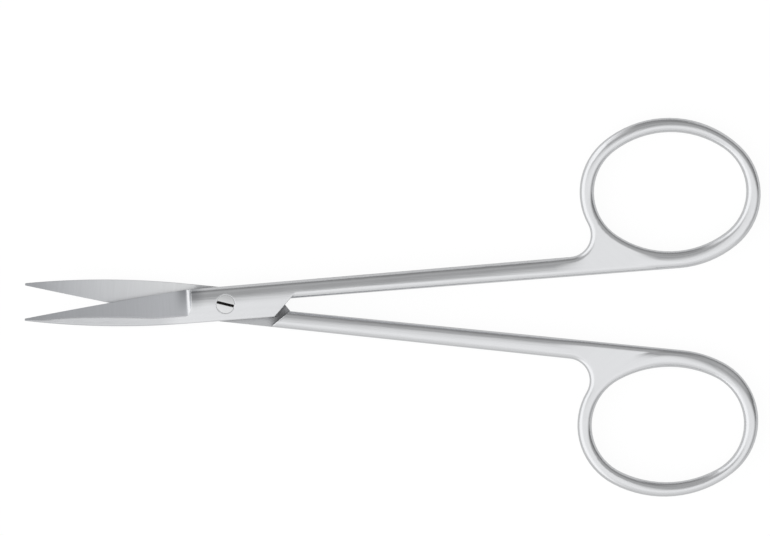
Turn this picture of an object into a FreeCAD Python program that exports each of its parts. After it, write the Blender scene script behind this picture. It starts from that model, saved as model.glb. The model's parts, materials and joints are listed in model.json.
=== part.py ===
import FreeCAD, Part
import math
import os
import Sketcher
from FreeCAD import Vector

# Fine curved dissecting scissors: two forged and ground steel halves that cross at a slotted screw.
# Each half is drawn closed, with the screw's axis at the origin, its tip towards -X and its finger
# ring towards +X. The two are then opened by half of rest_opening each and laid on their back.

# Driving dimensions, in millimetres and degrees. Each alias is one cell of the sheet.
SIZES = [
    ("rest_opening", 9.45, "angle between the two halves as they lie"),
    ("blade_reach", 31.0, "screw axis to tip"),
    ("bend_start", 9.9, "screw axis to where the meeting faces start to curve up"),
    ("bend_radius", 40.0, "curve of the meeting faces"),
    ("front_thickness", 1.9, "front half, from the meeting face to its top"),
    ("front_back_start", 12.3, "screw axis to where the front blade's top starts to curve"),
    ("front_tip_thickness", 0.375, "thickness of the front blade at its tip"),
    ("rear_thickness", 1.5, "rear half, from the meeting face to its underside"),
    ("rear_back_start", 9.2, "screw axis to where the rear blade's underside starts to curve"),
    ("rear_tip_thickness", 0.346, "thickness of the rear blade at its tip"),
    ("lap_clearance", 0.02, "each meeting face stands back from the shared surface by this much"),
    ("tip_width", 0.36, "width of the blunt nose of each tip"),
    ("tip_bow", 0.08, "how far the nose is rounded"),
    ("edge_bow", 0.105, "how far the cutting edge bows out from a straight line"),
    ("ricasso", 5.2, "screw axis to the wall where the ground face stops"),
    ("ricasso_half_width", 2.68, "centre line to the cutting edge there"),
    ("spine_half_width", 2.58, "centre line to the spine at its widest"),
    ("spine_straight", 6.4, "screw axis to where the spine starts to curve in"),
    ("notch_start", 7.4, "screw axis to the start of the notch for the other shank"),
    ("notch_half_width", 2.5, "centre line to the spine at the notch"),
    ("shoulder_clearance", 0.18, "gap between notch and shoulder with the blades closed"),
    ("shank_gap", 0.05, "centre line to the inner side of the shank at the joint"),
    ("shank_end", 52.0, "screw axis to where the far end of the shank is measured"),
    ("shank_inner", 0.4, "centre line to the inner side of the shank there"),
    ("shank_outer", 3.42, "centre line to the outer side of the shank there"),
    ("web_radius", 3.4, "hollow corner between the shank and the ring"),
    ("taper_start", 14.0, "screw axis to where the shank starts to thin"),
    ("taper_end", 50.0, "screw axis to where the shank reaches the ring's thickness"),
    ("ring_drop", 0.5, "how much thinner the limb is at the ring"),
    ("ring_centre", 69.7, "screw axis to the middle of the ring"),
    ("ring_hole_length", 23.54, "long axis of the finger hole"),
    ("front_ring_width", 18.4, "short axis of the front finger hole"),
    ("rear_ring_width", 17.8, "short axis of the rear finger hole"),
    ("front_ring_end", 1.2, "how much less the front finger hole's end radius is than half its width"),
    ("rear_ring_end", 0.9, "how much less the rear finger hole's end radius is than half its width"),
    ("ring_wire", 2.2, "width of the ring's wire at its ends and far side"),
    ("ring_wire_near", 2.65, "width of the ring's wire where it runs into the shank"),
    ("ring_outer_turn", 3.6, "further turn of the ring's outer side, against its finger hole"),
    ("front_ring_tilt", 2.7, "turn of the front ring's long axis towards the centre line"),
    ("rear_ring_tilt", 7.2, "turn of the rear ring's long axis towards the centre line"),
    ("edge_round", 0.88, "rounding of the long edges of shank and ring"),
    ("spine_round", 0.18, "rounding of the blade's spine"),
    ("front_grind_edge", 0.58, "thickness left at the cutting edge by the front blade's ground face"),
    ("front_grind_slope", 18.0, "slope of the front blade's ground face across the blade"),
    ("front_grind_start", 10.5, "screw axis to where the front blade's ground face starts to curve"),
    ("front_grind_tip", 0.233, "thickness left at the cutting edge at the front blade's tip"),
    ("rear_grind_edge", 0.55, "thickness left at the cutting edge by the rear blade's ground face"),
    ("rear_grind_slope", 15.0, "slope of the rear blade's ground face across the blade"),
    ("rear_grind_start", 9.5, "screw axis to where the rear blade's ground face starts to curve"),
    ("rear_grind_tip", 0.285, "thickness left at the cutting edge at the rear blade's tip"),
    ("grind_corner", 0.9, "hollow corner where the ground face meets its wall"),
    ("screw_shaft", 1.8, "diameter of the screw's shaft"),
    ("screw_running", 0.03, "radial clearance of the screw in the front half"),
    ("screw_head", 2.8, "diameter of the screw's head"),
    ("screw_head_crown", 0.55, "height of the head above the front half"),
    ("screw_cone_angle", 90.0, "angle of the countersunk part of the head"),
    ("screw_head_rim", 0.08, "straight rim between cone and crown"),
    ("screw_tail_crown", 0.5, "height of the tail below the rear half"),
    ("slot_width", 0.42, "screwdriver slot"),
    ("slot_depth", 0.62, "screwdriver slot, from the top of the crown"),
    ("slot_turn", 13.0, "turn of the slot from the centre line"),
]

# The blade's stock is turned through STOCK_ANGLE about the screw's axis and trimmed up to STOCK_RIGHT.
STOCK_ANGLE = 90
STOCK_RIGHT = -3.5
# First guess for the sketch solver: where round the ring's end the web runs in, in degrees.
WEB_END = 210
# Largest rounding of the long edges, as a share of the thinnest wall.
ROUND_SHARE = 0.43
# An edge further out than this share of the notch's half width belongs to the spine.
SPINE_SHARE = 0.8
# Places closer than this, in millimetres, count as the same where edges are picked.
NEAR = 0.01

doc = FreeCAD.newDocument("dissecting_scissors")
sheet = doc.addObject("Spreadsheet::Sheet", "Sizes")
for row, (alias, value, note) in enumerate(SIZES, start=1):
    sheet.set(f"A{row}", alias)
    sheet.set(f"B{row}", str(value))
    sheet.set(f"C{row}", note)
    sheet.setAlias(f"B{row}", alias)
doc.recompute()


def plain(number):
    """A bare number as a Size."""
    return number if isinstance(number, Size) else Size(float(number), repr(float(number)))


class Size:
    """A length or number together with the expression that works it out from the sheet."""

    def __init__(self, value, text):
        self.value = value
        self.text = text

    def __neg__(self):
        return Size(-self.value, f"(0 - {self.text})")

    def __add__(self, other):
        other = plain(other)
        return Size(self.value + other.value, f"({self.text} + {other.text})")

    def __sub__(self, other):
        other = plain(other)
        return Size(self.value - other.value, f"({self.text} - {other.text})")

    def __mul__(self, other):
        other = plain(other)
        return Size(self.value * other.value, f"({self.text} * {other.text})")

    def __truediv__(self, other):
        other = plain(other)
        return Size(self.value / other.value, f"({self.text} / {other.text})")

    __rmul__ = __mul__


def size(alias):
    return Size(float(sheet.get(alias)), f"Sizes.{alias}")


def degrees(function, angle):
    value = getattr(math, function)(math.radians(angle.value))
    return Size(value, f"{function}({angle.text} * 1 deg)")


def root(number):
    return Size(math.sqrt(number.value), f"sqrt({number.text})")


def smaller(first, second):
    first, second = plain(first), plain(second)
    return Size(min(first.value, second.value), f"min({first.text}; {second.text})")


def unsigned(number):
    return Size(abs(number.value), f"abs({number.text})")


def new_body(label):
    body = doc.addObject("PartDesign::Body", label)
    body.Label = label
    return body


def new_sketch(body, name, role):
    """A sketch on one of the body's own origin planes, given by its role."""
    sketch = body.newObject("Sketcher::SketchObject", name)
    plane = [item for item in body.Origin.OriginFeatures if item.Role == role][0]
    sketch.AttachmentSupport = (plane, "")
    sketch.MapMode = "FlatFace"
    return sketch


def dimension(sketch, kind, *arguments):
    """Add a dimension whose last argument is a Size, and bind it to the sheet."""
    *where, amount = arguments
    index = sketch.addConstraint(Sketcher.Constraint(kind, *where, amount.value))
    sketch.setExpression(f"Constraints[{index}]", amount.text)


def pin_point(sketch, geometry, end, x, y):
    """Fix one point of a sketch by its distances from the origin."""
    dimension(sketch, "DistanceX", -1, 1, geometry, end, plain(x))
    dimension(sketch, "DistanceY", -1, 1, geometry, end, plain(y))


def join(sketch, first, second, kind="Coincident"):
    """Join the end of one curve to the start of the next."""
    sketch.addConstraint(Sketcher.Constraint(kind, first[0], first[1], second[0], second[1]))


def line(sketch, start, end):
    first = Vector(plain(start[0]).value, plain(start[1]).value, 0)
    last = Vector(plain(end[0]).value, plain(end[1]).value, 0)
    return sketch.addGeometry(Part.LineSegment(first, last))


def polygon(sketch, corners):
    """A closed outline of straight lines with every corner bound to the sheet."""
    lines = [line(sketch, corners[i], corners[(i + 1) % len(corners)]) for i in range(len(corners))]
    for i, number in enumerate(lines):
        join(sketch, (number, 2), (lines[(i + 1) % len(lines)], 1))
        pin_point(sketch, number, 1, *corners[i])
    return lines


def arc(sketch, first, last, bow):
    """An arc from first to last that bows out to the left of that way (to the right if negative)."""
    start = Vector(first[0].value, first[1].value, 0)
    end = Vector(last[0].value, last[1].value, 0)
    chord = end - start
    left = Vector(-chord.y, chord.x, 0).normalize()
    number = sketch.addGeometry(Part.Arc(start, (start + end) * 0.5 + left * bow, end))
    begin = sketch.getPoint(number, 1)
    kept = begin.distanceToPoint(start) < begin.distanceToPoint(end)
    return (number, 1 if kept else 2), (number, 2 if kept else 1)


def gauge_point(sketch, line_number, place):
    """Make a line of the sketch pass through a place that the sheet gives."""
    mark = sketch.addGeometry(Part.Point(Vector(place[0].value, place[1].value, 0)), True)
    pin_point(sketch, mark, 1, *place)
    sketch.addConstraint(Sketcher.Constraint("PointOnObject", mark, 1, line_number))


def bow_radius(first, last, bow):
    """The radius of an arc through two points that stands off their chord by bow."""
    across, along = last[0] - first[0], last[1] - first[1]
    return (across * across + along * along) / (8 * bow) + bow / 2


def bend(sketch, start, far_x, radius):
    """An arc that leaves start level, towards far_x, and curves up, and both its ends."""
    run = abs(far_x.value - start[0].value)
    rise = radius.value - math.sqrt(radius.value ** 2 - run ** 2)
    chord = math.hypot(run, rise)
    bow = radius.value - math.sqrt(radius.value ** 2 - chord ** 2 / 4)
    far = (far_x, plain(start[1].value + rise))
    to_left = far_x.value < start[0].value
    near, end = arc(sketch, start, far, bow if to_left else -bow)
    dimension(sketch, "Radius", near[0], radius)
    dimension(sketch, "DistanceX", -1, 1, *end, far_x)
    return near, end


def meeting_rise():
    """How far the shared meeting surface has curved up at the blades' tips."""
    run, radius = size("blade_reach") - size("bend_start"), size("bend_radius")
    return radius - root(radius * radius - run * run)


def reaching_radius(start, height):
    """The radius of a curve that leaves start level and reaches height at the tip."""
    run, rise = size("blade_reach") + start[0], height - start[1]
    return (run * run + rise * rise) / (2 * rise)


def solve(sketch):
    """Every sketch has to be solved and fully bound before a feature uses it."""
    doc.recompute()
    state = sketch.solve()
    if state != 0:
        raise RuntimeError(f"{sketch.Name} does not solve: {state}")


def extrude(body, kind, name, sketch, up, down):
    """A Pad or Pocket that reaches up along the sketch's normal and down against it."""
    feature = body.newObject(kind, name)
    first, second = (down, up) if kind.endswith("Pocket") else (up, down)
    feature.Profile = sketch
    feature.SideType = "Two sides"
    feature.Type = "Length"
    feature.Type2 = "Length"
    feature.setExpression("Length", plain(first).text)
    feature.setExpression("Length2", plain(second).text)
    return feature


def edge_names(shape, wanted):
    return [f"Edge{i}" for i, edge in enumerate(shape.Edges, start=1) if wanted(edge)]


def round_edges(body, name, radius, wanted):
    doc.recompute()
    before = body.Tip
    names = edge_names(before.Shape, wanted)
    if not names:
        raise RuntimeError(f"{name} finds no edge")
    fillet = body.newObject("PartDesign::Fillet", name)
    fillet.Base = (before, names)
    fillet.setExpression("Radius", radius.text)
    doc.recompute()
    return fillet


def oval_sides(half_long, half_short, end_radius):
    """How far the centres of an oval's end arcs and side arcs lie from its middle, and the radius
    of its side arcs, which run smoothly into the end arcs."""
    end_shift = half_long - end_radius
    side_radius = ((end_shift * end_shift + half_short * half_short - end_radius * end_radius)
                   / (2 * (half_short - end_radius)))
    return end_shift, side_radius - half_short, side_radius


def oval_arc(sketch, side, middle, lean, along, across, radius, first, last):
    """One arc of an oval. along and across place its centre, and first and last are the turns at
    which it starts and ends, all in the oval's own frame. For the other half it is mirrored."""
    turn = math.radians(side * lean.value)

    def place(x, y):
        return Vector(middle[0] + x * math.cos(turn) - y * math.sin(turn),
                      side * (middle[1] + x * math.sin(turn) + y * math.cos(turn)), 0)

    def on_arc(angle):
        return place(along + radius * math.cos(angle), across + radius * math.sin(angle))

    number = sketch.addGeometry(Part.Arc(on_arc(first), on_arc((first + last) / 2), on_arc(last)))
    begin = sketch.getPoint(number, 1)
    kept = begin.distanceToPoint(on_arc(first)) < begin.distanceToPoint(on_arc(last))
    return (number, 1 if kept else 2), (number, 2 if kept else 1)


def oval(sketch, side, middle, half_long, half_short, end_radius, lean, open_from=None, open_to=None):
    """An oval of four arcs about middle (given for the front half and mirrored for the rear one),
    near side first, then the far end. With open_from and open_to it is cut open between them. The
    two end arcs' centres are left to be placed. Returns the arcs' (start, end) pairs."""
    end_shift, side_shift, side_radius = oval_sides(half_long, half_short, end_radius)
    ends, sides = end_shift.value, side_shift.value
    joint = math.atan2(sides, ends)
    start = open_from if open_from is not None else joint - math.pi
    stop = open_to if open_to is not None else math.pi + joint
    arcs = [
        oval_arc(sketch, side, middle, lean, 0, sides, side_radius.value, start, -joint),
        oval_arc(sketch, side, middle, lean, ends, 0, end_radius.value, -joint, joint),
        oval_arc(sketch, side, middle, lean, 0, -sides, side_radius.value, joint, math.pi - joint),
        oval_arc(sketch, side, middle, lean, -ends, 0, end_radius.value, math.pi - joint, stop),
    ]
    for before, after in zip(arcs, arcs[1:]):
        join(sketch, before[1], after[0], "Tangent")
    near, far_end, far, near_end = [pair[0][0] for pair in arcs]
    for number in (near, far):
        dimension(sketch, "Radius", number, side_radius)
    for number in (far_end, near_end):
        dimension(sketch, "Radius", number, end_radius)
    dimension(sketch, "DistanceX", near_end, 3, far_end, 3, 2 * end_shift * degrees("cos", lean))
    dimension(sketch, "DistanceY", near_end, 3, far_end, 3, 2 * end_shift * degrees("sin", lean))
    if open_from is None:
        join(sketch, arcs[3][1], arcs[0][0], "Tangent")
    else:
        aside = side * side_shift * degrees("sin", lean)
        dimension(sketch, "DistanceX", near, 3, far_end, 3, end_shift * degrees("cos", lean) + aside)
    return arcs


def outer_side(side, x):
    """A point on the straight outer side of a limb, from the ricasso to the ring."""
    rise = size("shank_outer") - size("ricasso_half_width")
    share = (x + size("ricasso")) / (size("shank_end") + size("ricasso"))
    return (x, side * (size("ricasso_half_width") + rise * share))


def inner_side(side, x):
    """A point on the straight inner side of the shank, from the joint to the ring."""
    rise = size("shank_inner") - size("shank_gap")
    share = (x + size("spine_straight")) / (size("shank_end") + size("spine_straight"))
    return (x, side * (size("shank_gap") + rise * share))


def spine_side(side, x):
    """A point on the straight part of the spine, from the notch to where it curves in."""
    rise = size("spine_half_width") - size("notch_half_width")
    share = (size("notch_start") - x) / (size("notch_start") + size("spine_straight"))
    return (x, -side * (size("notch_half_width") + rise * share))


def shank_and_ring(body, side, hole_width, end_step, tilt):
    """Shank, web and finger ring: one outline with its finger hole, padded and rounded."""
    sketch = new_sketch(body, "ShankOutline", "XY_Plane")
    wire, near_wire = size("ring_wire"), size("ring_wire_near")
    hole_long, hole_short = size("ring_hole_length") / 2, hole_width / 2
    hole_end = hole_short - end_step
    half_long, half_short, end_radius = hole_long + wire, hole_short + (wire + near_wire) / 2, hole_end + wire
    end_shift, side_shift, side_radius = oval_sides(half_long, half_short, end_radius)
    outer_tilt = tilt + size("ring_outer_turn")
    outer_lean = -side * outer_tilt
    centre_x = size("ring_centre")

    # The ring's near side touches the shank's inner side, which settles how far out the ring lies.
    lean = math.radians(-outer_tilt.value)
    arc_x = centre_x.value - side_shift.value * math.sin(lean)
    slope = math.atan2(inner_side(1, centre_x)[1].value - size("shank_gap").value,
                       centre_x.value + size("spine_straight").value)
    centre_y = (inner_side(1, plain(arc_x))[1].value + side_radius.value / math.cos(slope)
                - side_shift.value * math.cos(lean))
    ring = oval(sketch, side, (centre_x.value, centre_y), half_long, half_short, end_radius, outer_lean,
                slope - math.pi / 2 - lean, math.radians(WEB_END))
    near, far = ring[0][0], ring[3][1]
    ends_x = centre_x + end_shift * degrees("cos", outer_tilt)
    dimension(sketch, "DistanceX", -1, 1, ring[1][0][0], 3, ends_x)

    left = -size("spine_straight")
    inner_left = inner_side(side, left)
    touch = sketch.getPoint(*near)
    inner = line(sketch, inner_left, (touch.x, touch.y))
    pin_point(sketch, inner, 1, *inner_left)
    join(sketch, (inner, 2), near, "Tangent")
    gauge_point(sketch, inner, inner_side(side, size("shank_end")))

    web = size("web_radius")
    start = outer_side(side, plain(sketch.getPoint(*far).x - web.value))
    end = sketch.getPoint(*far)
    chord = math.hypot(end.x - start[0].value, end.y - start[1].value)
    bow = web.value - math.sqrt(max(web.value ** 2 - chord ** 2 / 4, NEAR))
    web_start, web_stop = arc(sketch, start, (plain(end.x), plain(end.y)), -side * bow)
    dimension(sketch, "Radius", web_start[0], web)
    join(sketch, web_stop, far, "Tangent")
    outer_left = outer_side(side, left)
    outer = line(sketch, start, outer_left)
    join(sketch, (outer, 1), web_start, "Tangent")
    pin_point(sketch, outer, 2, *outer_left)
    gauge_point(sketch, outer, outer_side(side, size("shank_end")))
    closing = line(sketch, outer_left, inner_left)
    join(sketch, (closing, 1), (outer, 2))
    join(sketch, (closing, 2), (inner, 1))

    # The finger hole lies further from the shank than the ring's middle, so the wire is wider there.
    shift = (near_wire - wire) / 2
    offset = (shift * degrees("sin", tilt), side * shift * degrees("cos", tilt))
    middle = (centre_x.value + offset[0].value, centre_y + side * offset[1].value)
    hole = oval(sketch, side, middle, hole_long, hole_short, hole_end, -side * tilt)
    hole_shift = oval_sides(hole_long, hole_short, hole_end)[0]
    ring_end = (end_shift * degrees("cos", outer_tilt), -side * end_shift * degrees("sin", outer_tilt))
    hole_end_place = (hole_shift * degrees("cos", tilt), -side * hole_shift * degrees("sin", tilt))
    dimension(sketch, "DistanceX", ring[1][0][0], 3, hole[1][0][0], 3,
              offset[0] + hole_end_place[0] - ring_end[0])
    dimension(sketch, "DistanceY", ring[1][0][0], 3, hole[1][0][0], 3,
              offset[1] + hole_end_place[1] - ring_end[1])
    solve(sketch)
    extrude(body, "PartDesign::Pad", "Shank", sketch, size("front_thickness"), size("rear_thickness"))
    thin_the_top(body)
    # The further turn of the ring's outer side leaves the wire thinner to one side of each end.
    thinnest = smaller(wire, near_wire) - (half_long - half_short) * degrees("sin", size("ring_outer_turn"))
    height = size("front_thickness") + size("rear_thickness") - size("ring_drop")
    radius = smaller(size("edge_round"), smaller(thinnest, height) * ROUND_SHARE)
    top = size("front_thickness").value
    bottom = -size("rear_thickness").value

    def long_edge(edge):
        """Edges round the top and the underside, apart from the ones at the cut-off left end."""
        middle = edge.valueAt((edge.FirstParameter + edge.LastParameter) / 2)
        level = all(min(abs(v.Z - bottom), abs(v.Z - top)) < size("ring_drop").value + NEAR
                    for v in edge.Vertexes)
        climb = abs(edge.Vertexes[0].Z - edge.Vertexes[-1].Z)
        return level and climb < size("ring_drop").value + NEAR and middle.x > left.value + NEAR

    round_edges(body, "LongEdges", radius, long_edge)


def thin_the_top(body):
    """Take the top down along two long gentle arcs, so that the ring is thinner than the joint."""
    sketch = new_sketch(body, "TopLine", "XZ_Plane")
    top, low = size("front_thickness"), size("front_thickness") - size("ring_drop")
    start, end = (size("taper_start"), top), (size("taper_end"), low)
    middle = ((start[0] + end[0]) / 2, (top + low) / 2)
    bow = size("ring_drop").value / 8
    first_near, first_far = arc(sketch, start, middle, bow)
    last_near, last_far = arc(sketch, middle, end, -bow)
    pin_point(sketch, *first_near, *start)
    pin_point(sketch, *last_far, *end)
    join(sketch, first_far, last_near, "Tangent")
    level = line(sketch, (plain(0), top), start)
    sketch.setConstruction(level, True)
    pin_point(sketch, level, 1, 0, top)
    join(sketch, (level, 2), first_near, "Tangent")
    beyond = size("ring_centre") + size("ring_hole_length")
    corners = [end, (beyond, low), (beyond, top + 1), (start[0], top + 1), start]
    lines = [line(sketch, corners[i], corners[i + 1]) for i in range(len(corners) - 1)]
    join(sketch, last_far, (lines[0], 1), "Tangent")
    for i, number in enumerate(lines[:-1]):
        join(sketch, (number, 2), (lines[i + 1], 1))
        pin_point(sketch, number, 2, *corners[i + 1])
    join(sketch, (lines[-1], 2), first_near)
    solve(sketch)
    breadth = size("ring_hole_length") * 2
    extrude(body, "PartDesign::Pocket", "ThinTop", sketch, breadth, breadth)


def joint_block(body, side, up, thickness):
    """The half-thick joint beside the shank, with the notch that the other shank closes into."""
    sketch = new_sketch(body, "JointOutline", "XY_Plane")
    left = -size("spine_straight")
    middle = (size("shank_gap") + size("ricasso_half_width")) / 2
    notch = spine_side(side, size("notch_start"))
    polygon(sketch, [
        spine_side(side, left), notch,
        (size("notch_start") + size("notch_half_width") + middle, side * middle),
        (left, side * middle),
    ])
    solve(sketch)
    face = size("lap_clearance")
    if up > 0:
        pad = extrude(body, "PartDesign::Pad", "Joint", sketch, thickness, -face)
    else:
        pad = extrude(body, "PartDesign::Pad", "Joint", sketch, -face, thickness)
    return pad


def lap_cut(body, side, up):
    """Halve the shank beyond its shoulder, which slants as the other half's notch does."""
    sketch = new_sketch(body, "Shoulder", "XY_Plane")
    stand_off = size("shoulder_clearance") * math.sqrt(2)
    corner = size("notch_start") + size("notch_half_width") + stand_off
    below, above = plain(-1), size("shank_outer") + 1
    left = -size("spine_straight") - 1
    polygon(sketch, [
        (left, side * below), (corner - below, side * below),
        (corner - above, side * above), (left, side * above),
    ])
    solve(sketch)
    face, deep = size("lap_clearance"), size("front_thickness") + size("rear_thickness")
    if up > 0:
        extrude(body, "PartDesign::Pocket", "Lap", sketch, face, deep)
    else:
        extrude(body, "PartDesign::Pocket", "Lap", sketch, deep, face)


def blade_stock(body, up, thickness, back_start, tip_thickness):
    """Curved stock for the blade. Its meeting face is turned about the screw's axis, so that the
    blades lie against each other at every opening."""
    sketch = new_sketch(body, "BladeProfile", "XZ_Plane")
    inner = -root(size("ricasso") * size("ricasso")
                  + size("ricasso_half_width") * size("ricasso_half_width"))
    far_x = -(size("blade_reach") + 1)
    face, back = up * size("lap_clearance"), up * thickness
    meet_start = (-size("bend_start"), face)
    back_point = (-back_start, back)
    meeting = line(sketch, (inner, face), meet_start)
    pin_point(sketch, meeting, 1, inner, face)
    pin_point(sketch, meeting, 2, *meet_start)
    meet_near, meet_far = bend(sketch, meet_start, far_x, size("bend_radius"))
    join(sketch, (meeting, 2), meet_near, "Tangent")
    outer = line(sketch, back_point, (inner, back))
    pin_point(sketch, outer, 1, *back_point)
    pin_point(sketch, outer, 2, inner, back)
    tip_back = meeting_rise() + up * (size("lap_clearance") + tip_thickness)
    back_near, back_far = bend(sketch, back_point, far_x, reaching_radius(back_point, tip_back))
    join(sketch, (outer, 1), back_near, "Tangent")
    first, last = sketch.getPoint(*meet_far), sketch.getPoint(*back_far)
    end = line(sketch, (plain(first.x), plain(first.y)), (plain(last.x), plain(last.y)))
    join(sketch, (end, 1), meet_far)
    join(sketch, (end, 2), back_far)
    root_line = line(sketch, (inner, back), (inner, face))
    join(sketch, (root_line, 1), (outer, 2))
    join(sketch, (root_line, 2), (meeting, 1))
    solve(sketch)
    turned = body.newObject("PartDesign::Revolution", "BladeStock")
    turned.Profile = sketch
    turned.ReferenceAxis = (sketch, ["V_Axis"])
    turned.Angle = STOCK_ANGLE
    turned.Midplane = True


def blade_outline(body, side):
    """Trim the stock to the blade: cutting edge, blunt nose and spine."""
    sketch = new_sketch(body, "BladeOutline", "XY_Plane")
    right = plain(STOCK_RIGHT)
    beyond = -(size("blade_reach") + 2)
    wide = size("blade_reach")
    ricasso = (-size("ricasso"), side * size("ricasso_half_width"))
    nose_top = (-(size("blade_reach") - size("tip_bow")), side * plain(0))
    nose_low = (nose_top[0], -side * size("tip_width"))
    spine_end = spine_side(side, -size("spine_straight"))
    upper, lower = outer_side(side, right), spine_side(side, right)
    edge_line = line(sketch, upper, ricasso)
    pin_point(sketch, edge_line, 1, *upper)
    pin_point(sketch, edge_line, 2, *ricasso)
    edge_start, edge_end = arc(sketch, ricasso, nose_top, -side * size("edge_bow").value)
    join(sketch, (edge_line, 2), edge_start)
    pin_point(sketch, *edge_end, *nose_top)
    dimension(sketch, "Radius", edge_start[0], bow_radius(ricasso, nose_top, size("edge_bow")))
    nose_start, nose_end = arc(sketch, nose_top, nose_low, -side * size("tip_bow").value)
    join(sketch, edge_end, nose_start)
    pin_point(sketch, *nose_end, *nose_low)
    dimension(sketch, "Radius", nose_start[0], bow_radius(nose_top, nose_low, size("tip_bow")))
    along = Vector(spine_end[0].value - nose_low[0].value, spine_end[1].value - nose_low[1].value, 0)
    straight = Vector(lower[0].value - spine_end[0].value, lower[1].value - spine_end[1].value, 0)
    turn = along.getAngle(straight)
    bow = along.Length / 2 * math.tan(turn / 2)
    spine_start, spine_stop = arc(sketch, nose_low, spine_end, -side * bow)
    join(sketch, nose_end, spine_start)
    spine_line = line(sketch, spine_end, lower)
    join(sketch, spine_stop, (spine_line, 1), "Tangent")
    pin_point(sketch, spine_line, 1, *spine_end)
    pin_point(sketch, spine_line, 2, *lower)
    corners = [lower, (right, -side * wide), (beyond, -side * wide), (beyond, side * wide),
               (right, side * wide), upper]
    before = spine_line
    for i in range(len(corners) - 1):
        edge = line(sketch, corners[i], corners[i + 1])
        join(sketch, (before, 2), (edge, 1))
        if i < len(corners) - 2:
            pin_point(sketch, edge, 2, *corners[i + 1])
        before = edge
    join(sketch, (before, 2), (edge_line, 1))
    solve(sketch)
    deep = size("bend_radius")
    extrude(body, "PartDesign::Pocket", "TrimBlade", sketch, deep, deep)


def ground_face(body, side, up, edge, slope, start, tip_edge):
    """Grind the outer side of the blade thin towards its cutting edge, up to a hollow-cornered wall."""
    sketch = new_sketch(body, "GroundLine", "XZ_Plane")
    corner = size("grind_corner")
    wall = -size("ricasso")
    level = up * (edge + size("ricasso_half_width") * degrees("tan", slope))
    clear = up * size("bend_radius") / 2
    foot, root_point = (wall, level + up * corner), (wall - corner, level)
    bow = corner.value * (1 - math.sqrt(0.5))
    corner_start, corner_end = arc(sketch, foot, root_point, up * bow)
    pin_point(sketch, *corner_start, *foot)
    pin_point(sketch, *corner_end, *root_point)
    dimension(sketch, "Radius", corner_start[0], corner)
    floor_end = (-start, level)
    floor = line(sketch, root_point, floor_end)
    join(sketch, corner_end, (floor, 1))
    pin_point(sketch, floor, 2, *floor_end)
    far_x = -(size("blade_reach") + 2)
    tip_level = meeting_rise() + up * (size("lap_clearance") + tip_edge)
    near, far = bend(sketch, floor_end, far_x, reaching_radius(floor_end, tip_level))
    join(sketch, (floor, 2), near, "Tangent")
    last = sketch.getPoint(*far)
    side_line = line(sketch, (plain(last.x), plain(last.y)), (far_x, clear))
    join(sketch, (side_line, 1), far)
    pin_point(sketch, side_line, 2, far_x, clear)
    cover = line(sketch, (far_x, clear), (wall, clear))
    join(sketch, (side_line, 2), (cover, 1))
    pin_point(sketch, cover, 2, wall, clear)
    wall_line = line(sketch, (wall, clear), foot)
    join(sketch, (cover, 2), (wall_line, 1))
    join(sketch, (wall_line, 2), corner_start)
    solve(sketch)
    breadth = size("ricasso_half_width") * 3
    pocket = extrude(body, "PartDesign::Pocket", "GroundFace", sketch, breadth, breadth)
    pocket.UseCustomVector = True
    pocket.Direction = Vector(0, math.cos(math.radians(slope.value)), -math.sin(math.radians(slope.value)))
    pocket.setExpression("Direction.y", degrees("cos", slope).text)
    pocket.setExpression("Direction.z", (-degrees("sin", slope)).text)


def round_spine(body, side, up, thickness):
    """Break the outer edge of the spine, from the notch to the tip."""
    doc.recompute()

    def spine_edge(edge):
        """Edges between the spine's wall and the outer face, which lies level at the joint."""
        middle = edge.valueAt((edge.FirstParameter + edge.LastParameter) / 2)
        near_spine = side * middle.y < -size("notch_half_width").value * SPINE_SHARE
        outer = abs(middle.z - up * thickness.value) < NEAR
        long = edge.Length > size("notch_start").value / 2
        return near_spine and outer and long and middle.x < size("notch_start").value - NEAR

    round_edges(body, "SpineEdge", size("spine_round"), spine_edge)


def screw_cone():
    """Depth of the countersunk part of the head."""
    return (size("screw_head") - size("screw_shaft")) / 2 / degrees("tan", size("screw_cone_angle") / 2)


def front_screw_hole(body):
    """Countersunk hole that turns freely on the screw."""
    sketch = new_sketch(body, "ScrewHole", "XZ_Plane")
    running = size("screw_running")
    shaft, head = size("screw_shaft") / 2 + running, size("screw_head") / 2 + running
    top = size("front_thickness")
    deep = -size("rear_thickness")
    polygon(sketch, [
        (plain(0), deep), (shaft, deep), (shaft, top - screw_cone()), (head, top),
        (head, top + 1), (plain(0), top + 1),
    ])
    solve(sketch)
    groove = body.newObject("PartDesign::Groove", "Countersink")
    groove.Profile = sketch
    groove.ReferenceAxis = (sketch, ["V_Axis"])
    groove.Angle = 360


def rear_screw_hole(body):
    """Hole that holds the screw's threaded shaft."""
    sketch = new_sketch(body, "ScrewHole", "XY_Plane")
    number = sketch.addGeometry(Part.Circle(Vector(0, 0, 0), Vector(0, 0, 1), size("screw_shaft").value / 2))
    sketch.addConstraint(Sketcher.Constraint("Coincident", number, 3, -1, 1))
    dimension(sketch, "Diameter", number, size("screw_shaft"))
    solve(sketch)
    deep = size("rear_thickness") * 2
    extrude(body, "PartDesign::Pocket", "Thread", sketch, deep, deep)


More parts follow.
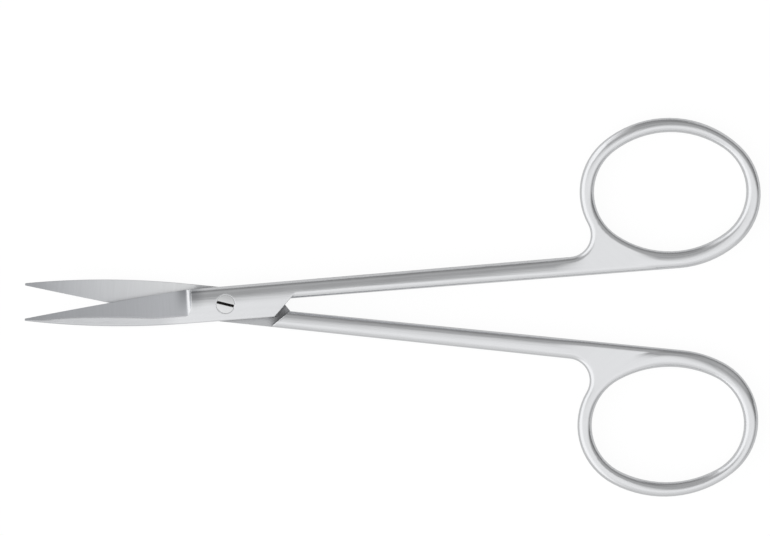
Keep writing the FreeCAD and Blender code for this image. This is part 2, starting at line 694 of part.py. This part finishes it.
def joint_screw():
    """One turned screw: raised countersunk head, shaft and rounded tail."""
    body = new_body("joint_screw")
    sketch = new_sketch(body, "ScrewProfile", "XZ_Plane")
    shaft, head = size("screw_shaft") / 2, size("screw_head") / 2
    top, bottom = size("front_thickness"), -size("rear_thickness")
    rim = (head, top + size("screw_head_rim"))
    crown = (plain(0), top + size("screw_head_crown"))
    tail = (plain(0), bottom - size("screw_tail_crown"))
    corners = [(shaft, bottom), (shaft, top - screw_cone()), (head, top), rim]
    before = None
    for i in range(len(corners) - 1):
        edge = line(sketch, corners[i], corners[i + 1])
        pin_point(sketch, edge, 1, *corners[i])
        if before is not None:
            join(sketch, (before, 2), (edge, 1))
        before = edge
    pin_point(sketch, before, 2, *rim)
    first = before - len(corners) + 2
    head_start, head_end = dome(sketch, rim, crown)
    join(sketch, (before, 2), head_start)
    tail_start, tail_end = dome(sketch, tail, (shaft, bottom))
    join(sketch, tail_end, (first, 1))
    axis = line(sketch, crown, tail)
    join(sketch, head_end, (axis, 1))
    join(sketch, (axis, 2), tail_start)
    pin_point(sketch, axis, 1, *crown)
    pin_point(sketch, axis, 2, *tail)
    solve(sketch)
    turned = body.newObject("PartDesign::Revolution", "Turned")
    turned.Profile = sketch
    turned.ReferenceAxis = (sketch, ["V_Axis"])
    turned.Angle = 360
    slot = new_sketch(body, "Slot", "XY_Plane")
    floor = crown[1] - size("slot_depth")
    slot.AttachmentOffset = FreeCAD.Placement(Vector(), FreeCAD.Rotation(Vector(0, 0, 1), 0))
    slot.setExpression("AttachmentOffset.Rotation.Angle", (-size("slot_turn")).text + " * 1 deg")
    half = size("slot_width") / 2
    polygon(slot, [(-head, -half), (head, -half), (head, half), (-head, half)])
    solve(slot)
    extrude(body, "PartDesign::Pocket", "SlotCut", slot, crown[1] + 1, -floor)
    return body


def dome(sketch, first, last):
    """An arc between the rim of a dome and its pole on the axis, level at the pole."""
    rim, pole = (first, last) if abs(last[0].value) < abs(first[0].value) else (last, first)
    height = pole[1] - rim[1]
    radius = (rim[0] * rim[0] + height * height) / (2 * unsigned(height))
    start = Vector(first[0].value, first[1].value, 0)
    end = Vector(last[0].value, last[1].value, 0)
    chord = (end - start).Length
    bow = radius.value - math.sqrt(radius.value ** 2 - chord ** 2 / 4)
    begin, stop = arc(sketch, first, last, -bow)
    dimension(sketch, "Radius", begin[0], radius)
    return begin, stop


def scissor_half(name, side, up):
    """One half: side is where its ring lies (+1 or -1 in Y), up which way its outer face looks."""
    body = new_body(f"{name}_half")
    thickness = size(f"{name}_thickness")
    shank_and_ring(body, side, size(f"{name}_ring_width"), size(f"{name}_ring_end"),
                   size(f"{name}_ring_tilt"))
    lap_cut(body, side, up)
    joint_block(body, side, up, thickness)
    blade_stock(body, up, thickness, size(f"{name}_back_start"), size(f"{name}_tip_thickness"))
    blade_outline(body, side)
    ground_face(body, side, up, size(f"{name}_grind_edge"), size(f"{name}_grind_slope"),
                size(f"{name}_grind_start"), size(f"{name}_grind_tip"))
    round_spine(body, side, up, thickness)
    return body


front = scissor_half("front", 1, 1)
front_screw_hole(front)
rear = scissor_half("rear", -1, -1)
rear_screw_hole(rear)
screw = joint_screw()
doc.recompute()

# Laid open on its back, with the middle of its outline over the origin.
half_open = size("rest_opening").value / 2
lift = size("rear_thickness").value + size("screw_tail_crown").value
turned = []
for body, angle in ((front, half_open), (rear, -half_open)):
    shape = body.Shape.copy()
    shape.rotate(Vector(), Vector(0, 0, 1), angle)
    turned.append(shape.optimalBoundingBox(False, False))
middle_x = (min(box.XMin for box in turned) + max(box.XMax for box in turned)) / 2
middle_y = (min(box.YMin for box in turned) + max(box.YMax for box in turned)) / 2
for body, angle in ((front, half_open), (rear, -half_open), (screw, 0)):
    place = Vector(-middle_x, -middle_y, lift)
    body.Placement = FreeCAD.Placement(place, FreeCAD.Rotation(Vector(0, 0, 1), angle))
doc.recompute()

failed = [item.Name for item in doc.Objects if {"Invalid", "Error"} & set(item.State)]
if failed:
    raise RuntimeError(f"these features failed: {failed}")
for body in (front, rear, screw):
    if body.Shape.isNull() or not body.Shape.isValid() or len(body.Shape.Solids) != 1:
        raise RuntimeError(f"{body.Label} is not one valid solid")
os.makedirs("parts", exist_ok=True)
for body in (front, rear, screw):
    body.Shape.exportStep(f"parts/{body.Label}.step")
    box = body.Shape.BoundBox
    print(body.Label, round(body.Shape.Volume, 2), "mm3, z", round(box.ZMin, 2), round(box.ZMax, 2))
print("screw axis at", round(-middle_x, 4), round(-middle_y, 4), "lift", lift)
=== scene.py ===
import json
import math

import bmesh
import bpy
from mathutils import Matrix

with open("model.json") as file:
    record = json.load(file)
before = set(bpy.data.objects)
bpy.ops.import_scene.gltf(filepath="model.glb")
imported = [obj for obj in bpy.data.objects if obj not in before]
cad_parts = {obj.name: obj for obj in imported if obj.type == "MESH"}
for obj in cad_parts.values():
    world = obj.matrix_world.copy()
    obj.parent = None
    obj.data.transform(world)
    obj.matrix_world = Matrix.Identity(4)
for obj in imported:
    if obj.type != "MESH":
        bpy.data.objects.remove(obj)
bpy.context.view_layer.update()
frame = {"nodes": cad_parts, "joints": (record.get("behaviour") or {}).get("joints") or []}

# The front half: the limb whose joint lies on top, from its blade tip through the halved joint to the
# finger ring. It is drop-forged martensitic stainless steel, ground on the blade and then polished to
# a satin, so its flats carry fine lengthwise lines and its blade duller lines that run across.
PIVOT = frame["joints"][0]["pos_m"]
HALF_OPEN = math.radians(-frame["joints"][0]["range_deg"][0] / 2)
MM = 0.001

# Places and lengths in millimetres, in a half's own frame: the screw's axis at the origin and the
# ring towards +X and +Y.
BLADE_TIP = -31.0
WALL = -5.2                        # where the ground face stops
LAP_DEPTH = 0.1                    # the milled lap lies this close to the plane where halves meet
HOLE_RIM = (1.7, 2.3)              # from the edge of the screw's hole to clear of it
WEB = (52.0, 58.0)                 # where the shank runs into the ring
WEB_MIDDLE = (58.5, 3.0, 0.0)
WEB_REACH = (5.0, 9.0)             # from the flat of the web to the round of the wire
RING_MIDDLE = (69.7, 12.3, 0.0)
WIRE_MIDDLE = (12.9, 10.35, 1.0)   # half the ring's length and width, to the middle of its wire
WIRE_HALF = 0.1                    # half the wire's width, as a share of that
WIRE_CROWN = 12.0                  # how far the wire falls away, for that share squared
CROWN_WIDTH = 3.5
SHARP_EDGE = 0.1
SOFT_EDGE = 0.35
POLISH_DEPTH = 0.016
GRIND_DEPTH = 0.003

SATIN_ROUGHNESS = (0.12, 0.19)
WORKED_ROUGHNESS = 0.46
STREAKS = (0.965, 1.02)            # how dark and how light the lines are, as shares of the tone
SATIN_STREAKS = 0.35               # how much of that shows on the satin
SATIN = "#E0E1E3"
GROUND = "#DFE1E5"
# Painted shade, by the wall towards the cutting edge and along the blade's back
PAINTED_SHADE = "#A6A8AC"
MEETING_AT_TIP = "#CDCFD3"
MEETING_AT_JOINT = "#E6E7E8"
MILLED = "#C6C7C9"
# Painted shade in the lap's crevices, where the other half is close
CREVICE_SHADE = "#1D1C1D"


def linear(hex_value):
    """An sRGB hex colour as linear RGBA."""
    parts = [int(hex_value[i:i + 2], 16) / 255 for i in (1, 3, 5)]
    return [c / 12.92 if c <= 0.04045 else ((c + 0.055) / 1.055) ** 2.4 for c in parts] + [1.0]


def empty_tree(owner):
    """The node tree of a material or world, with nothing in it."""
    owner.use_nodes = True
    owner.node_tree.nodes.clear()
    return owner.node_tree


def add_node(tree, kind, inputs=None, **settings):
    """A node with its settings. An input takes a value, a socket, or a node for its first output."""
    node = tree.nodes.new(kind)
    for name, value in settings.items():
        setattr(node, name, value)
    for name, value in (inputs or {}).items():
        named = [s for s in node.inputs if s.name == name and s.enabled]
        socket = node.inputs[name] if isinstance(name, int) else named[0]
        if isinstance(value, bpy.types.Node):
            value = [s for s in value.outputs if s.enabled][0]
        if isinstance(value, bpy.types.NodeSocket):
            tree.links.new(value, socket)
        else:
            socket.default_value = value
    return node


def reckon(tree, operation, *values):
    """One operation on numbers."""
    return add_node(tree, "ShaderNodeMath", dict(enumerate(values)), operation=operation)


def product(tree, result, *others):
    """Numbers multiplied together."""
    for other in others:
        result = reckon(tree, "MULTIPLY", result, other)
    return result


def reckon_vector(tree, operation, *vectors):
    """One operation on vectors that gives a vector."""
    return add_node(tree, "ShaderNodeVectorMath", dict(enumerate(vectors)), operation=operation)


def measure(tree, operation, *vectors):
    """One operation on vectors that gives a number."""
    return reckon_vector(tree, operation, *vectors).outputs["Value"]


def split(tree, vector):
    """The X, Y and Z of a vector."""
    node = add_node(tree, "ShaderNodeSeparateXYZ", {"Vector": vector})
    return [node.outputs[axis] for axis in "XYZ"]


def remap(tree, value, start, end, low=0.0, high=1.0, **settings):
    """A number that goes from low to high while value goes from start to end, and no further."""
    return add_node(tree, "ShaderNodeMapRange", {
        "Value": value, "From Min": start, "From Max": end, "To Min": low, "To Max": high}, **settings)


def blend(tree, kind, factor, first, second):
    """first where factor is 0, second where it is 1, and a mixture in between."""
    return add_node(tree, "ShaderNodeMix", {"Factor": factor, "A": first, "B": second},
                    data_type=kind)


def noise(tree, place, stretch, detail, roughness, turn=0.0):
    """A noise pattern whose place is stretched along each axis and then turned."""
    stretched = add_node(tree, "ShaderNodeMapping", {
        "Vector": place, "Rotation": (0, 0, turn), "Scale": stretch})
    return add_node(tree, "ShaderNodeTexNoise", {
        "Vector": stretched, "Scale": 1.0, "Detail": detail, "Roughness": roughness})


def bump(tree, strength, distance, height, normal):
    """A surface direction tilted by a pattern of heights."""
    return add_node(tree, "ShaderNodeBump", {
        "Strength": strength, "Distance": distance, "Height": height, "Normal": normal})


def metal_surface(tree, colour, roughness, normal):
    """Bare metal on the outside of a piece."""
    shader = add_node(tree, "ShaderNodeBsdfPrincipled", {
        "Base Color": colour, "Metallic": 1.0, "Roughness": roughness, "Normal": normal})
    add_node(tree, "ShaderNodeOutputMaterial", {"Surface": shader})


def own_frame(tree, side, outer):
    """Each point's place in the half's own frame in millimetres, and the direction that it faces."""
    coordinates = add_node(tree, "ShaderNodeTexCoord")
    turn = (0, 0, side * HALF_OPEN)
    place = add_node(tree, "ShaderNodeMapping", {
        "Vector": coordinates.outputs["Object"], "Location": PIVOT, "Rotation": turn,
        "Scale": (MM, side * MM, MM)}, vector_type="TEXTURE")
    facing = add_node(tree, "ShaderNodeMapping", {
        "Vector": coordinates.outputs["Normal"], "Rotation": turn, "Scale": (1, side, outer)},
        vector_type="TEXTURE")
    return place, facing


def worked_faces(tree, x, z, facing):
    """Where the blade's ground face, its meeting face and the joint's milled lap are, and which
    points face outwards: 1 there, 0 elsewhere, and soft at the borders. The ground face leans
    towards the cutting edge. The meeting face looks inwards and runs on into the lap."""
    _, lean, out = split(tree, facing)
    outside = remap(tree, out, 0.2, 0.4)
    inside = remap(tree, out, -0.6, -0.8)
    leaning = remap(tree, lean, 0.10, 0.16)
    on_blade = remap(tree, x, WALL - 0.55, WALL - 0.75)
    ground = product(tree, leaning, outside, on_blade)
    past_blade = remap(tree, x, WALL - 0.8, WALL + 0.8)
    before_lap = reckon(tree, "SUBTRACT", 1.0, past_blade)
    meeting = product(tree, inside, before_lap)
    height = reckon(tree, "ABSOLUTE", z)
    in_middle = reckon(tree, "LESS_THAN", height, LAP_DEPTH)
    lap = product(tree, inside, in_middle, past_blade)
    return ground, meeting, lap, outside


def steel_lines(tree, place, z, from_middle, on_ring, worked):
    """Polishing facets about a millimetre wide, along the shank and round the ring's wire, and
    grinding lines about 0.3 mm apart across the blade. The finest real lines would vanish between
    the pixels."""
    along_shank = noise(tree, place, (0.04, 1.0, 1.0), 4.0, 0.6)
    from_x, from_y, _ = split(tree, from_middle)
    turn = reckon(tree, "ARCTAN2", from_y, from_x)
    reach = measure(tree, "LENGTH", from_middle)
    ring_place = add_node(tree, "ShaderNodeCombineXYZ", {"X": turn, "Y": reach, "Z": z})
    round_ring = noise(tree, ring_place, (0.6, 1.0, 1.0), 4.0, 0.6)
    polish = blend(tree, "FLOAT", on_ring, along_shank, round_ring)
    grind = noise(tree, place, (3.4, 0.16, 0.16), 5.0, 0.65, turn=math.radians(7))
    return blend(tree, "FLOAT", worked, polish, grind)


def satin_tone(tree, x, near_edge, outside):
    """Satin steel, with painted shade past the wall, strongest by the cutting edge, and along the
    blade's back.
    """
    near_wall = remap(tree, x, WALL + 2.5, WALL + 0.2, interpolation_type="SMOOTHSTEP")
    past_wall = remap(tree, x, WALL, WALL + 0.2)
    wall_shade = product(tree, near_wall, past_wall, near_edge)
    back_shade = remap(tree, x, WALL - 2.0, WALL - 5.0, high=0.3)
    shade_amount = product(tree, reckon(tree, "MAXIMUM", wall_shade, back_shade), outside)
    return blend(tree, "RGBA", shade_amount, linear(SATIN), linear(PAINTED_SHADE))


def ground_tone(tree, x, near_edge):
    """The ground face, with painted shade before the wall, strongest by the cutting edge."""
    near_wall = remap(tree, x, WALL - 3.0, WALL - 1.0, interpolation_type="SMOOTHSTEP")
    return blend(tree, "RGBA", product(tree, near_wall, near_edge), linear(GROUND), linear(PAINTED_SHADE))


def meeting_tone(tree, x):
    """The blade's meeting face, which gets lighter towards the joint."""
    nearness = remap(tree, x, BLADE_TIP, WALL)
    return blend(tree, "RGBA", nearness, linear(MEETING_AT_TIP), linear(MEETING_AT_JOINT))


def lap_tone(tree):
    """The milled lap, with painted shade where the other half is close to it, as ambient occlusion
    finds it.
    """
    nearby = add_node(tree, "ShaderNodeAmbientOcclusion", {"Distance": 1.5 * MM}, samples=8)
    openness = remap(tree, nearby.outputs["AO"], 0.32, 0.6)
    return blend(tree, "RGBA", openness, linear(CREVICE_SHADE), linear(MILLED))


def edge_rounding(tree, place, x, y, ground, worked):
    """How far polishing rounded each edge: less on the worked faces, by the wall and round the
    screw's hole than elsewhere, but not less on the ground face's border with the blade's back."""
    off_hole = remap(tree, measure(tree, "LENGTH", place), *HOLE_RIM)
    by_wall = reckon(tree, "COMPARE", x, WALL, 1.0)
    off_both = reckon(tree, "SUBTRACT", off_hole, by_wall)
    outer = remap(tree, off_both, 0.0, 1.0, SHARP_EDGE * MM, SOFT_EDGE * MM)
    by_back = remap(tree, y, 0.0, -0.6)
    on_border = product(tree, by_back, ground)
    inner = remap(tree, on_border, 0.0, 1.0, SHARP_EDGE * MM, SOFT_EDGE * MM)
    return blend(tree, "FLOAT", worked, outer, inner)


def shank_crown(tree, place, x, grows, way, start, curve):
    """Heights in millimetres of the shank's flat, which wheel polishing left a little crowned, and
    how much of them there is at each point."""
    past = remap(tree, measure(tree, "DOT_PRODUCT", place, way), start, start + CROWN_WIDTH,
                 high=CROWN_WIDTH)
    heights = product(tree, reckon(tree, "POWER", past, 2.0), -curve / 2)
    grown = remap(tree, x, *grows)
    on_shank = remap(tree, x, WEB[0] - 1, WEB[1] - 2, low=1.0, high=0.0)
    return heights, product(tree, grown, on_shank)


def wire_crown(tree, place, from_middle, on_ring, shift):
    """Heights in millimetres of the ring's wire, which is polished round and is highest shift off
    its middle, and how much of them there is at each point."""
    from_highest = reckon_vector(tree, "SUBTRACT", from_middle, (0, shift, 0))
    wire_place = reckon_vector(tree, "DIVIDE", from_highest, WIRE_MIDDLE)
    wire_flat = reckon_vector(tree, "MULTIPLY", wire_place, (1, 1, 0))
    offset = reckon(tree, "SUBTRACT", measure(tree, "LENGTH", wire_flat), 1.0)
    within = reckon(tree, "MINIMUM", reckon(tree, "ABSOLUTE", offset), WIRE_HALF)
    heights = product(tree, reckon(tree, "POWER", within, 2.0), -WIRE_CROWN)
    off_web = remap(tree, measure(tree, "DISTANCE", place, WEB_MIDDLE), *WEB_REACH)
    return heights, product(tree, on_ring, off_web)


def satin_stainless(name, side, outer, crown_grows, crown_way, crown_start, crown_curve, wire_shift):
    """Satin-polished stainless steel of one half, with its ground face and its meeting face.
    side is where its ring lies in Y, and outer is which way its outer face looks in Z. The polished
    crown grows between two places along X and runs on to the ring. It falls away along crown_way,
    past crown_start, by crown_curve per millimetre. The ring is polished highest wire_shift
    millimetres off its wire's middle."""
    material = bpy.data.materials.new(name)
    tree = empty_tree(material)
    place, facing = own_frame(tree, side, outer)
    x, y, z = split(tree, place)
    from_middle = reckon_vector(tree, "SUBTRACT", place, RING_MIDDLE)
    on_ring = remap(tree, x, *WEB)
    ground, meeting, lap, outside = worked_faces(tree, x, z, facing)
    ground_or_meeting = reckon(tree, "MAXIMUM", ground, meeting)
    worked = reckon(tree, "MAXIMUM", ground_or_meeting, lap)
    lines = steel_lines(tree, place, z, from_middle, on_ring, worked)

    # Each face has its tone, with painted shade strongest by the cutting edge. The lines show as
    # streaks in it.
    near_edge = remap(tree, y, -0.8, 2.3, high=0.85)
    tone = satin_tone(tree, x, near_edge, outside)
    tone = blend(tree, "RGBA", meeting, tone, meeting_tone(tree, x))
    tone = blend(tree, "RGBA", ground, tone, ground_tone(tree, x, near_edge))
    tone = blend(tree, "RGBA", lap, tone, lap_tone(tree))
    streaks = remap(tree, lines, 0.3, 0.7, *STREAKS)
    streak_depth = remap(tree, worked, 0.0, 1.0, SATIN_STREAKS, 1.0)
    shade = blend(tree, "FLOAT", streak_depth, 1.0, streaks)
    colour = add_node(tree, "ShaderNodeVectorMath", {0: tone, "Scale": shade}, operation="SCALE")

    # Handling leaves patches some 6 mm wide where the satin is a little brighter or duller.
    patches = noise(tree, place, (0.16, 0.16, 0.16), 2.0, 0.5)
    satin_roughness = remap(tree, patches, 0.3, 0.7, *SATIN_ROUGHNESS)
    roughness = blend(tree, "FLOAT", worked, satin_roughness, WORKED_ROUGHNESS)

    edge = edge_rounding(tree, place, x, y, ground, worked)
    softened = add_node(tree, "ShaderNodeBevel", {"Radius": edge}, samples=6)
    heights, share = shank_crown(tree, place, x, crown_grows, crown_way, crown_start, crown_curve)
    crowned = bump(tree, share, MM, heights, softened)
    heights, share = wire_crown(tree, place, from_middle, on_ring, wire_shift)
    rounded = bump(tree, share, MM, heights, crowned)
    line_depth = blend(tree, "FLOAT", worked, POLISH_DEPTH * MM, GRIND_DEPTH * MM)
    lined = bump(tree, 1.0, line_depth, lines, rounded)
    metal_surface(tree, colour, roughness, lined)
    return material


front = frame["nodes"]["front_half"]
front.data.materials.clear()
front.data.materials.append(satin_stainless(
    "satin_stainless_front", side=1, outer=1, crown_grows=(-6.2, -5.4),
    crown_way=(-0.018, 1, 0), crown_start=-0.2, crown_curve=0.09, wire_shift=-0.4))

# The rear half: the limb whose joint lies underneath and holds the screw's thread. It is forged,
# ground and polished as the front half is, as its mirror image, so its outer face looks down and its
# meeting face is the one that shows on the blade.
rear = frame["nodes"]["rear_half"]
rear.data.materials.clear()
rear.data.materials.append(satin_stainless(
    "satin_stainless_rear", side=-1, outer=-1, crown_grows=(2.0, 9.0),
    crown_way=(0, -1, 0), crown_start=-2.1, crown_curve=0.12, wire_shift=0.0))

# The joint screw: turned from stainless bar, with a countersunk head whose crown is polished bright
# round its sawn slot. The slot is painted almost black, as painted shade.
SLOT_TURN = math.radians(-13.0)
SLOT_HALF = 0.212       # millimetres
HEAD_STARTS = 1.0       # millimetres above the lap
HEAD_FLATTENED = 0.75   # how much of the crown's shading is taken away
BRIGHT = "#E3E4E5"
# Painted shade in the slot
SLOT_SHADE = "#2B2A29"


def turned_stainless(name):
    """Bright turned stainless steel with painted shade in the slot across the middle of the head."""
    material = bpy.data.materials.new(name)
    tree = empty_tree(material)
    coordinates = add_node(tree, "ShaderNodeTexCoord")
    place = add_node(tree, "ShaderNodeMapping", {
        "Vector": coordinates.outputs["Object"], "Location": PIVOT,
        "Rotation": (0, 0, SLOT_TURN), "Scale": (MM, MM, MM)}, vector_type="TEXTURE")
    _, y, z = split(tree, place)
    in_width = reckon(tree, "LESS_THAN", reckon(tree, "ABSOLUTE", y), SLOT_HALF)
    in_head = reckon(tree, "GREATER_THAN", z, HEAD_STARTS)
    in_slot = product(tree, in_width, in_head)
    colour = blend(tree, "RGBA", in_slot, linear(BRIGHT), linear(SLOT_SHADE))
    roughness = blend(tree, "FLOAT", in_slot, 0.36, 0.6)

    # The turning tool leaves rings about the axis, drawn 0.25 mm apart so that they show.
    from_axis = add_node(tree, "ShaderNodeMapping", {"Vector": place, "Scale": (1, 1, 0)})
    reach = add_node(tree, "ShaderNodeCombineXYZ", {"X": measure(tree, "LENGTH", from_axis)})
    rings = noise(tree, reach, (4.0, 4.0, 4.0), 2.0, 0.5)

    # The photographed head looks nearly flush, so the shading of its crown is flattened.
    softened = add_node(tree, "ShaderNodeBevel", {"Radius": 0.08 * MM}, samples=6)
    flush = blend(tree, "VECTOR", in_head, softened, (0, 0, 1))
    flattened = blend(tree, "VECTOR", HEAD_FLATTENED, softened, flush)
    head_normal = reckon_vector(tree, "NORMALIZE", flattened)
    lined = bump(tree, 0.5, 0.003 * MM, rings, head_normal)
    metal_surface(tree, colour, roughness, lined)
    return material


screw = frame["nodes"]["joint_screw"]
screw.data.materials.clear()
screw.data.materials.append(turned_stainless("turned_stainless"))

# The bench: a sheet of white paper that the scissors lie on. It is plain white to the camera and
# light grey in the steel, whose rims are grey in the photograph, and keeps a trace of soft shadow.
PAPER_HALF = 1.5        # metres
PAPER_GLOW = 0.88       # the share of the paper that glows, and keeps no shadow
PAPER_SEEN = 1.05
PAPER_IN_STEEL = 0.68
WHITE = (1.0, 1.0, 1.0, 1.0)
floor_shape = bmesh.new()
bmesh.ops.create_grid(floor_shape, x_segments=1, y_segments=1, size=PAPER_HALF)
floor_mesh = bpy.data.meshes.new("paper")
floor_shape.to_mesh(floor_mesh)
floor_shape.free()
paper = bpy.data.objects.new("paper", floor_mesh)
bpy.context.scene.collection.objects.link(paper)
white_paper = bpy.data.materials.new("white_paper")
tree = empty_tree(white_paper)
rays = add_node(tree, "ShaderNodeLightPath")
seen = rays.outputs["Is Camera Ray"]
seen_or_mirrored = reckon(tree, "MAXIMUM", seen, rays.outputs["Is Glossy Ray"])
shows_white = reckon(tree, "MAXIMUM", seen_or_mirrored, rays.outputs["Is Transmission Ray"])
glow_share = product(tree, shows_white, PAPER_GLOW)
lit = add_node(tree, "ShaderNodeBsdfDiffuse", {"Color": linear("#F4F4F4")})
glow_strength = remap(tree, seen, 0.0, 1.0, PAPER_IN_STEEL, PAPER_SEEN)
glow = add_node(tree, "ShaderNodeEmission", {"Color": WHITE, "Strength": glow_strength})
surface = add_node(tree, "ShaderNodeMixShader", {"Fac": glow_share, 1: lit, 2: glow})
add_node(tree, "ShaderNodeOutputMaterial", {"Surface": surface})
paper.data.materials.append(white_paper)

# The light: a white studio tent with the light on the side of the rear ring, and a grey card on the
# side of the front ring, so that rounded steel shows a bright side, a dark side and thin dark lines.
TENT = [   # degrees from the zenith towards +Y, and how bright the tent is there
    (-90, 0.85), (-78, 0.80), (-62, 0.80), (-45, 0.88), (-30, 0.97), (-12, 1.03), (0, 1.0),
    (4, 0.94), (8, 0.78), (11, 0.61), (15, 0.38), (19, 0.42), (28, 0.50), (45, 0.44), (65, 0.30),
    (90, 0.25),
]
TIP_END = 1.2     # how bright the tent is past the blade tips
RING_END = 0.45   # and how much dimmer than elsewhere past the rings
world = bpy.data.worlds.new("studio_tent")
bpy.context.scene.world = world
tree = empty_tree(world)
sky = add_node(tree, "ShaderNodeTexCoord")
sky_x, sky_y, sky_z = split(tree, sky.outputs["Generated"])
lean = reckon(tree, "ARCTAN2", sky_y, sky_z)
along_tent = remap(tree, lean, -math.pi / 2, math.pi / 2)
tent = add_node(tree, "ShaderNodeValToRGB", {"Fac": along_tent})
stops = tent.color_ramp.elements
while len(stops) < len(TENT):
    stops.new(0.5)
for stop, (angle, level) in zip(stops, TENT):
    stop.position = (angle + 90) / 180
    stop.color = (level, level, level, 1.0)
at_tips = remap(tree, sky_x, -0.3, -0.55)
tent_or_end = blend(tree, "RGBA", at_tips, tent, (TIP_END, TIP_END, TIP_END, 1.0))
dimmed = remap(tree, sky_x, 0.6, 0.95, 1.0, RING_END)
studio = add_node(tree, "ShaderNodeBackground", {"Color": tent_or_end, "Strength": dimmed})
backdrop = add_node(tree, "ShaderNodeBackground", {"Color": WHITE, "Strength": 1.0})
rays = add_node(tree, "ShaderNodeLightPath")
shown = add_node(tree, "ShaderNodeMixShader", {
    "Fac": rays.outputs["Is Camera Ray"], 1: studio, 2: backdrop})
add_node(tree, "ShaderNodeOutputWorld", {"Surface": shown})

# The camera: straight above, as in the photograph, from far enough away that the lens draws the part
# almost without perspective. The photograph shows the part turned by 0.61 degrees.
DISTANCE = 3.0                                      # metres above the part
PART_MIDDLE = (-1.215 * MM, 5.587 * MM, 2.5 * MM)   # what the middle of the picture shows
PART_TURN = math.radians(0.61)
PHOTO_PIXELS = 770
PIXELS_PER_MM = 6.478
PHOTO_WIDTH = PHOTO_PIXELS / PIXELS_PER_MM * MM
camera_data = bpy.data.cameras.new("camera")
camera_data.sensor_width = 36.0
camera_data.lens = camera_data.sensor_width * DISTANCE / PHOTO_WIDTH
camera = bpy.data.objects.new("camera", camera_data)
camera.location = (PART_MIDDLE[0], PART_MIDDLE[1], PART_MIDDLE[2] + DISTANCE)
camera.rotation_euler = (0, 0, PART_TURN)
bpy.context.scene.collection.objects.link(camera)
bpy.context.scene.camera = camera
bpy.context.scene.view_settings.view_transform = "Standard"
